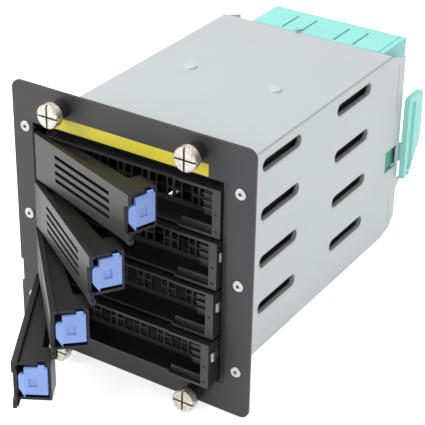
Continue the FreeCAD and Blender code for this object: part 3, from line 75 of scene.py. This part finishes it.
# ---- Face plate and yellow strip
# The plate is punched from steel and powder coated black, which leaves a fine orange-peel skin.
# The strip is plain yellow film stuck on above the mouth.
class Shade:
    """A value in a finish's node tree. Sums on it add the Math nodes they need."""

    def __init__(self, tree, socket=None):
        self.tree = tree
        self.socket = socket

    def node(self, kind, settings=None, sockets=None, output=0):
        """Adds any other node: its settings first, then the values or links of its sockets."""
        made = self.tree.nodes.new("ShaderNode" + kind)
        for name, value in (settings or {}).items():
            setattr(made, name, value)
        for name, value in (sockets or {}).items():
            if isinstance(value, Shade):
                self.tree.links.new(value.socket, made.inputs[name])
            else:
                made.inputs[name].default_value = value
        return Shade(self.tree, made.outputs[output])

    def math(self, operation, other=0.0):
        """A Math node on this value alone, or on this one and another."""
        return self.node("Math", {"operation": operation}, {0: self, 1: other})

    def __add__(self, other):
        return self.math("ADD", other)

    def __radd__(self, other):
        return self.math("ADD", other)

    def __sub__(self, other):
        return self.math("SUBTRACT", other)

    def __rsub__(self, other):
        return self.node("Math", {"operation": "SUBTRACT"}, {0: other, 1: self})

    def __mul__(self, other):
        return self.math("MULTIPLY", other)

    def __rmul__(self, other):
        return self.math("MULTIPLY", other)

    def __truediv__(self, other):
        return self.math("DIVIDE", other)

    def __gt__(self, other):
        return self.math("GREATER_THAN", other)

    def __lt__(self, other):
        return self.math("LESS_THAN", other)

    def __abs__(self):
        return self.math("ABSOLUTE")

    def between(self, low, high):
        """0 below low, 1 above high, and a smooth slope from one to the other."""
        return self.node("MapRange", {"interpolation_type": "SMOOTHSTEP"},
                         {"Value": self, "From Min": low, "From Max": high})

    def tint(self, first, second):
        """The first colour where this is 0 and the second where it is 1."""
        return self.node("Mix", {"data_type": "RGBA"},
                         {0: self, 6: as_colour(first), 7: as_colour(second)}, output=2)


def as_colour(value):
    return value if isinstance(value, Shade) else (*value, 1)


class Finish:
    """One procedural surface: its shader, the piece's own coordinates and its rounded edges."""

    def __init__(self, name, metallic=0.0, edge=0.0003):
        self.material = bpy.data.materials.new(name)
        self.material.use_nodes = True
        tree = self.material.node_tree
        self.surface = tree.nodes["Principled BSDF"]
        self.surface.inputs["Metallic"].default_value = metallic
        self.shade = Shade(tree)
        self.place = self.shade.node("TexCoord", output=3)
        self.rounded = self.shade.node("Bevel", {"samples": 4}, {"Radius": edge})
        self.flat = self.shade.node("NewGeometry", output=1)

    def axes(self):
        """The place's three parts, in metres."""
        return [self.shade.node("SeparateXYZ", {}, {0: self.place}, output=part)
                for part in range(3)]

    def faces(self, axis):
        """How far the face looks along one of the piece's own axes, 0 for x, 1 for y, 2 for z."""
        turned = self.shade.node("TexCoord", output=1)
        return self.shade.node("SeparateXYZ", {}, {0: turned}, output=axis)

    def noise(self, size, detail=3.0, stretch=(1, 1, 1)):
        """Soft noise whose lumps are about size metres across, longer where stretch is small."""
        scaled = self.shade.node("VectorMath", {"operation": "MULTIPLY"},
                                 {0: self.place, 1: tuple(part / size for part in stretch)})
        return self.shade.node("TexNoise", {}, {"Vector": scaled, "Scale": 1.0, "Detail": detail})

    def cells(self, size):
        """Grains of plating, about size metres across: 0 at each one's middle."""
        scaled = self.shade.node("VectorMath", {"operation": "SCALE"},
                                 {0: self.place, "Scale": 1 / size})
        return self.shade.node("TexVoronoi", {}, {"Vector": scaled, "Scale": 1.0})

    def edges(self):
        """1 along the rounded edges and 0 on the flat faces, for wear and a painted highlight on
        the corners.
        """
        agree = self.shade.node("VectorMath", {"operation": "DOT_PRODUCT"},
                                {0: self.rounded, 1: self.flat}, output=1)
        return (1 - agree).between(0.02, 0.25)

    def set(self, colour, roughness, relief, depth):
        """Links the colour, roughness and relief, with the relief laid on the rounded edges."""
        for name, value in (("Base Color", colour), ("Roughness", roughness)):
            self.shade.tree.links.new(value.socket, self.surface.inputs[name])
        bump = self.shade.node("Bump", {}, {"Strength": 1.0, "Distance": depth, "Height": relief,
                                            "Normal": self.rounded})
        self.shade.tree.links.new(bump.socket, self.surface.inputs["Normal"])

    def cover(self, *names):
        """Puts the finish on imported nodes, or on pieces made here."""
        for name in names:
            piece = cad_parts[name] if isinstance(name, str) else name
            piece.data.materials.clear()
            piece.data.materials.append(self.material)


powder = Finish("black powder coat", edge=0.0004)
coat_dark, coat_pale, coat_wear_highlight = (0.029, 0.028, 0.030), (0.040, 0.038, 0.040), (0.13, 0.13, 0.13)
peel = powder.noise(0.0009, detail=2)
coat = powder.noise(0.03).tint(coat_dark, coat_pale)
# Paler edges: wear, and a painted highlight.
powder.set(colour=(powder.edges() * 0.5).tint(coat, coat_wear_highlight),
           roughness=0.42 + peel * 0.14, relief=peel, depth=0.00004)
powder.cover("face_plate")

film = Finish("yellow film", edge=0.0001)
deep_yellow, pale_yellow = (0.72, 0.60, 0.035), (0.80, 0.70, 0.060)
grain = film.noise(0.0012)
clouds = film.noise(0.004) * 0.4 + film.noise(0.02) * 0.6
film.set(colour=clouds.tint(deep_yellow, pale_yellow),
         roughness=0.35 + grain * 0.1, relief=grain, depth=0.00002)
film.cover("yellow_strip")

# ---- Rivets
# Six hollow pop rivets in plain steel. They are pulled up tight through the plate and the cage's
# flanges behind it, and keep a dull bore where the pin broke off.
steel = Finish("rivet steel", metallic=0.9, edge=0.0004)
steel_dark, steel_pale = (0.30, 0.30, 0.31), (0.70, 0.70, 0.71)
scuff = steel.noise(0.0008)
steel.set(colour=steel.noise(0.0016, detail=5).tint(steel_dark, steel_pale),
          roughness=0.28 + scuff * 0.2, relief=scuff, depth=0.00006)
steel.cover("face_rivets")

# ---- Thumbscrews and sleeves
# Turned screws with a crossed slot, plated in bright nickel, with painted shade darkening the
# slots.
# Their sleeves are black moulded rings that hold the screws in the plate.
nickel = Finish("bright nickel", metallic=0.85, edge=0.0009)
x, y, z = nickel.axes()
first_low, first_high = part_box("thumbscrew_1")
second_low, second_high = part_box("thumbscrew_2")
third_low, third_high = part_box("thumbscrew_3")
head_face = first_low[1]
slot_lip, slot_deep, slot_reach = 0.0004, 0.0022, 0.0062
hub_x = (second_low[0] + second_high[0]) / 2
hub_high = (first_low[2] + first_high[2]) / 2
hub_low = (third_low[2] + third_high[2]) / 2
off_x = abs(x) - hub_x
off_z = abs(z - (hub_high + hub_low) / 2) - (hub_high - hub_low) / 2
near_hub = (off_x * off_x + off_z * off_z) < slot_reach ** 2
# Painted shade: the slot floors are coloured near black.
in_slot = (y > head_face + slot_lip) * (y < head_face + slot_deep) * near_hub
nickel_dark, nickel_pale, slot_shade = (0.22, 0.19, 0.16), (0.78, 0.72, 0.64), (0.075, 0.058, 0.045)
mottle = nickel.cells(0.0011)
stain = nickel.noise(0.0022, detail=5)
plated = (mottle * 0.9 + stain * 0.5).tint(nickel_dark, nickel_pale)
nickel.set(colour=in_slot.tint(plated, slot_shade), roughness=0.28 + stain * 0.18,
           relief=mottle * 0.6 + stain * 0.4, depth=0.0003)
nickel.cover("thumbscrew_1", "thumbscrew_2", "thumbscrew_3", "thumbscrew_4")

# The same soot-black moulding makes the mouth's liner, the runners, the sockets and the fan.
soot = Finish("black moulding", edge=0.0003)
soot_dark, soot_pale = (0.012, 0.012, 0.012), (0.020, 0.020, 0.020)
mould = soot.noise(0.0005)
soot.set(colour=soot.noise(0.01).tint(soot_dark, soot_pale),
         roughness=0.38 + mould * 0.15, relief=mould, depth=0.00003)
soot.cover("screw_sleeves", "mouth_liner", "runners_left", "runners_right", "drive_sockets",
           "data_socket", "fan_housing", "fan_mount", "fan_rotor")

# ---- Sheet-steel cage
# One zinc-plated sheet is bent into the top and both sides, and a second makes the floor. The
# plating is pale and satin, with faint rolling lines along the sheet, and the press has rolled
# the edges of the air slots inward. Painted shade darkens the wall round the slots, most below
# them.
top_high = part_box("cage_top")[1]
wall_out = top_high[0]
rim_low, rim_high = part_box("slot_lips")
row_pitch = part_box("tray_1")[0][2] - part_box("tray_2")[0][2]
rim_radius = (rim_high[2] - rim_low[2] - 3 * row_pitch) / 2
rim_wide, slot_half = 0.0010, 0.0168
slot_radius = rim_radius - rim_wide
column_gap = rim_high[1] - rim_low[1] - 2 * (slot_half + rim_radius)
fold_shade_starts, fold_shade_ends = (0.0011, 0.0016), (0.0017, 0.0024)
bump_foot, fold_wide, roll_wide = 0.0007, 0.0012, 0.0022
zinc_dark, zinc_pale = (0.560, 0.595, 0.603), (0.640, 0.675, 0.683)
zinc_shade = (0.16, 0.165, 0.17)
for name, covered, slotted in (
        ("zinc plate", ("cage_top", "wall_ears", "cage_floor", "board_tabs", "module_shelves"), 0),
        ("zinc plate round slots", ("side_left", "side_right"), 1)):
    zinc = Finish(name, metallic=0.2, edge=0.0007)
    x, y, z = zinc.axes()
    # Painted shade: a thin dark line under the fold, and a darker ring at the foot of each bump.
    below_top = top_high[2] - z
    fold_shade = below_top.between(*fold_shade_starts) - below_top.between(*fold_shade_ends)
    bump_shade = (z > top_high[2] - bump_foot) * (1 - zinc.faces(2).between(0.3, 0.9))
    # Painted shade along the slots' cut edges, just inside the wall's outer face.
    cut_edge_shade = (wall_out - abs(x)).between(0.0, fold_wide) * slotted
    # The distance to the nearest slot's middle line, from its column along y and its row up z.
    off_column = abs(y - (rim_low[1] + rim_high[1]) / 2) - column_gap / 2
    past_end = (abs(off_column) - slot_half).math("MAXIMUM")
    row = (z - rim_low[2] - rim_radius) / row_pitch + 0.5
    off_row = (row.math("FRACT") - 0.5) * row_pitch
    reach = (past_end * past_end + off_row * off_row).math("SQRT")
    # Painted shade round each slot, strongest along its lower side.
    under = 0.35 + 0.65 * (0 - off_row).between(-0.001, 0.002)
    rolled = (1 - reach.between(slot_radius, slot_radius + roll_wide)) * under * slotted
    lines = zinc.noise(0.0009, stretch=(1, 0.05, 1))
    drift = zinc.noise(0.05)
    grime = zinc.noise(0.004, detail=5)
    plating = (drift * 0.6 + lines * 0.2 + grime * 0.2).tint(zinc_dark, zinc_pale)
    shadow = fold_shade * 0.35 + bump_shade * 0.5 + cut_edge_shade * 0.30 + rolled * 0.32
    zinc.set(colour=shadow.tint(plating, zinc_shade), roughness=0.40 + lines * 0.12,
             relief=lines, depth=0.00002)
    zinc.cover(*covered)

# The slots' rims turn inward behind the wall, with painted shade that darkens them with depth.
rim = Finish("rolled slot edge", metallic=0.2, edge=0.0004)
rim_pale, rim_shade = (0.60, 0.61, 0.62), (0.030, 0.031, 0.032)
x, y, z = rim.axes()
inward = (rim_high[0] - abs(x)).between(0.0003, 0.0026)
speck = rim.noise(0.0007, detail=4)
rim.set(colour=(inward * 0.85 + speck * 0.25).tint(rim_pale, rim_shade),
        roughness=0.5 + speck * 0.1, relief=speck, depth=0.00003)
rim.cover("slot_lips")

# ---- Module stop
# A small tongue sheared from the rear edge of the top sheet and bent up, in the sheet's own
# plating. The fan module's slits run beside it.
stop_left, stop_right = -0.0078, -0.0036
stop_front, stop_rear = -0.0014, 0.0016
taper_left, taper_right = 0.001, 0.0016
stop_tall, stop_sunk, stop_round, front_share = 0.0009, 0.0001, 0.0002, 0.35
tongue = bmesh.new()
corners = [tongue.verts.new((side, top_high[1] + from_edge, top_high[2] - stop_sunk))
           for side, from_edge in ((stop_left, stop_rear), (stop_left + taper_left, stop_front),
                                   (stop_right - taper_right, stop_front),
                                   (stop_right, stop_rear))]
base = tongue.faces.new(corners)
raised = bmesh.ops.extrude_face_region(tongue, geom=[base])["geom"]
for part in raised:
    if isinstance(part, bmesh.types.BMVert):
        part.co.z += stop_tall * (front_share if part.co.y < top_high[1] else 1.0)
bmesh.ops.recalc_face_normals(tongue, faces=tongue.faces)
bmesh.ops.bevel(tongue, geom=list(tongue.edges), offset=stop_round, segments=2, affect="EDGES")
stop_mesh = bpy.data.meshes.new("module_stop")
tongue.to_mesh(stop_mesh)
tongue.free()
stop = bpy.data.objects.new("module_stop", stop_mesh)
bpy.context.scene.collection.objects.link(stop)
zinc.cover(stop)
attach(stop, "cage")

# ---- Trays and levers
# Moulded in black, with a fine eroded grain, and a painted sheen on the faces that look forward.
# The levers' edges are rubbed paler by hands and carry a painted highlight; their top and under
# faces take painted shade, and each lever's end frame is painted a navy shade.
bays = range(1, 5)
front_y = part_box("face_plate")[0][1]
tray_names = [f"tray_{bay}" for bay in bays]
grille_names = [f"tray_grille_{bay}" for bay in bays]
pipe_names = [f"light_pipes_{bay}" for bay in bays]
mouth_ends, bay_starts = 0.016, 0.030
tray_dark, tray_pale, tray_wear_highlight = (0.011, 0.011, 0.011), (0.018, 0.018, 0.018), (0.10, 0.10, 0.10)
for name, covered, sheen_grey in (("tray moulding", tray_names + pipe_names, 0.030),
                             ("grille moulding", grille_names, 0.060)):
    carrier = Finish(name, edge=0.0003)
    x, y, z = carrier.axes()
    inside = y.between(front_y + mouth_ends, front_y + bay_starts)
    # Painted sheen: faces that look forward are coloured paler.
    front_sheen = (0 - carrier.faces(1)).between(0.5, 0.95)
    mould = carrier.noise(0.0004)
    black = front_sheen.tint(carrier.noise(0.02).tint(tray_dark, tray_pale), (sheen_grey, sheen_grey, sheen_grey))
    # Paler edges: wear, and a painted highlight.
    carrier.set(colour=(carrier.edges() * 0.5).tint(black, tray_wear_highlight),
                roughness=0.30 + mould * 0.14 + inside * 0.45, relief=mould, depth=0.00003)
    carrier.cover(*covered)

lever_dark, lever_pale = (0.040, 0.040, 0.038), (0.054, 0.054, 0.051)
lever_level_shade, lever_wear_highlight = (0.015, 0.015, 0.014), (0.12, 0.12, 0.115)
navy_shade = (0.010, 0.012, 0.026)
for bay in bays:
    pin_low, pin_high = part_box(f"lever_pin_{bay}")
    end_low, end_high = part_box(f"latch_{bay}")
    arm = Vector([end_low[k] + end_high[k] - pin_low[k] - pin_high[k] for k in range(2)] + [0])
    arm.normalize()
    handle = Finish(f"lever moulding {bay}", edge=0.0005)
    # Painted shade on the top and under faces, so the upright faces read as lit.
    level_shade = abs(handle.faces(2)).between(0.5, 0.9)
    # Painted navy shade on the end frame round the blue latch.
    end_frame_shade = (handle.faces(0) * arm.x + handle.faces(1) * arm.y).between(0.6, 0.9)
    mould = handle.noise(0.0004)
    face = handle.noise(0.02).tint(lever_dark, lever_pale)
    body = end_frame_shade.tint(level_shade.tint(face, lever_level_shade), navy_shade)
    # Paler edges: wear, and a painted highlight.
    handle.set(colour=(handle.edges() * 0.35).tint(body, lever_wear_highlight),
               roughness=0.30 + mould * 0.14 + end_frame_shade * 0.3, relief=mould, depth=0.00003)
    handle.cover(f"lever_{bay}")

# The push latches are blue mouldings. Pins, small screws and contact fingers are spring steel.
blue = Finish("blue moulding", edge=0.0004)
blue_deep, blue_plain, blue_wear_highlight = (0.27, 0.41, 0.86), (0.31, 0.46, 0.90), (0.50, 0.62, 0.95)
mould = blue.noise(0.0006)
body = blue.noise(0.008).tint(blue_deep, blue_plain)
# Paler edges: wear, and a painted highlight.
blue.set(colour=(blue.edges() * 0.4).tint(body, blue_wear_highlight),
         roughness=0.34 + mould * 0.12, relief=mould, depth=0.00003)
blue.cover(*[f"latch_{bay}" for bay in bays])
spring = Finish("spring steel", metallic=0.9, edge=0.0002)
spring_dark, spring_pale = (0.26, 0.25, 0.23), (0.40, 0.39, 0.36)
scuff = spring.noise(0.0010)
spring.set(colour=spring.noise(0.004).tint(spring_dark, spring_pale),
           roughness=0.3 + scuff * 0.2, relief=scuff, depth=0.00003)
spring.cover("backplane_screws", "fan_screws", "fan_latch_pin", "fan_guard",
             *[f"lever_pin_{bay}" for bay in bays],
             *[f"spring_finger_{bay}" for bay in bays])

# ---- Fan module
# Moulded in one mint green plastic: the box round the fan, its wings and the latch arm. The
# module slides in from the rear, and the arm holds it there. Painted shade darkens the arm behind
# the wall, and the latch's grip is painted paler, as if lit.
wall_skin, window_front, window_rear = 0.0009, 0.002, 0.004
mint_wear_highlight, arm_shaded_green, arm_shade = (0.50, 0.90, 0.85), (0.05, 0.42, 0.28), (0.012, 0.11, 0.085)
for name, covered, latch in (("mint moulding", "fan_bracket", 0), ("mint latch", "fan_latch", 1)):
    mint = Finish(name, edge=0.0006)
    x, y, z = mint.axes()
    # Painted highlight: the latch's grip is coloured paler than the box.
    lit_grip_lift = 0.12 * latch
    mould = mint.noise(0.0006)
    body = mint.noise(0.03).tint((0.26 + lit_grip_lift, 0.75 + lit_grip_lift, 0.67 + lit_grip_lift),
                                 (0.32 + lit_grip_lift, 0.81 + lit_grip_lift, 0.73 + lit_grip_lift))
    # Painted shade on the arm behind the wall, darker towards the rear.
    window_shade = y.between(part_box("fan_latch")[0][1] + window_front,
                          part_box("side_right")[1][1] - window_rear)
    shade_behind_wall = (x < wall_out - wall_skin) * latch
    # Paler edges: wear, and a painted highlight.
    mint.set(colour=shade_behind_wall.tint((mint.edges() * 0.4).tint(body, mint_wear_highlight),
                                     window_shade.tint(arm_shaded_green, arm_shade)),
             roughness=0.34 + mould * 0.12, relief=mould, depth=0.00003)
    mint.cover(covered)

# ---- Backplane
# A green fibreglass board that stands across the rear of the bays, screwed to tabs of the cage,
# with ivory power sockets soldered to it.
board = Finish("green board", edge=0.0002)
board_dark, board_pale = (0.01, 0.10, 0.04), (0.02, 0.15, 0.06)
weave = board.noise(0.0008)
board.set(colour=board.noise(0.01).tint(board_dark, board_pale),
          roughness=0.3 + weave * 0.1, relief=weave, depth=0.00002)
board.cover("backplane_board")
ivory = Finish("ivory moulding", edge=0.0002)
ivory_dark, ivory_pale = (0.62, 0.60, 0.52), (0.70, 0.68, 0.60)
mould = ivory.noise(0.0006)
ivory.set(colour=ivory.noise(0.01).tint(ivory_dark, ivory_pale),
          roughness=0.4 + mould * 0.1, relief=mould, depth=0.00002)
ivory.cover("power_sockets")


# ---- Studio
# A pale floor under the plate's lower edge, an even white room, and three soft lamps. The floor
# and the room show white to the camera and in gloss and glass, and light the cage more gently.
def seen(shade):
    """1 for rays from the camera, off gloss or through glass, and 0 for all others."""
    camera_ray, glossy_ray, glass_ray = [shade.node("LightPath", output=ray) for ray in (0, 3, 6)]
    return camera_ray.math("MAXIMUM", glossy_ray).math("MAXIMUM", glass_ray)


low, high = Vector(cad_box[0]), Vector(cad_box[1])
middle = (low + high) / 2
floor_size, floor_gap = 6, 0.0005
bpy.ops.mesh.primitive_plane_add(size=floor_size, location=(middle.x, middle.y, low.z - floor_gap))
floor = bpy.context.object
floor.name = "floor"
paper = bpy.data.materials.new("paper")
paper.use_nodes = True
paper_shade = Shade(paper.node_tree)
paper_dark, paper_pale, paper_glow = (0.84, 0.84, 0.84), (0.86, 0.86, 0.86), (0.72, 0.72, 0.72)
surface = paper.node_tree.nodes["Principled BSDF"]
surface.inputs["Roughness"].default_value = 0.9
surface.inputs["Specular IOR Level"].default_value = 0.1
surface.inputs["Emission Strength"].default_value = 1.0
fibre = paper_shade.node("TexNoise", {}, {"Scale": 300.0})
glow = seen(paper_shade).tint((0, 0, 0), paper_glow)
paper.node_tree.links.new(glow.socket, surface.inputs["Emission Color"])
paper.node_tree.links.new(fibre.tint(paper_dark, paper_pale).socket, surface.inputs["Base Color"])
floor.data.materials.append(paper)

world = bpy.data.worlds.new("room")
bpy.context.scene.world = world
world.use_nodes = True
room_light, room_seen = (0.62, 0.63, 0.65), (1, 1, 1)
air = world.node_tree.nodes["Background"]
air.inputs["Strength"].default_value = 1.0
walls = seen(Shade(world.node_tree)).tint(room_light, room_seen)
world.node_tree.links.new(walls.socket, air.inputs["Color"])

for name, place, size, power in (("top box", (-0.3, -0.2, 1.3), 1.0, 9),
                                 ("front box", (-1.0, -1.0, 0.55), 0.5, 8),
                                 ("side box", (1.4, -0.2, 0.4), 1.0, 1.5)):
    light = bpy.data.lights.new(name, "AREA")
    light.size = size
    light.energy = power
    holder = bpy.data.objects.new(name, light)
    bpy.context.scene.collection.objects.link(holder)
    holder.location = place
    holder.rotation_euler = (middle - Vector(place)).to_track_quat("-Z", "Y").to_euler()
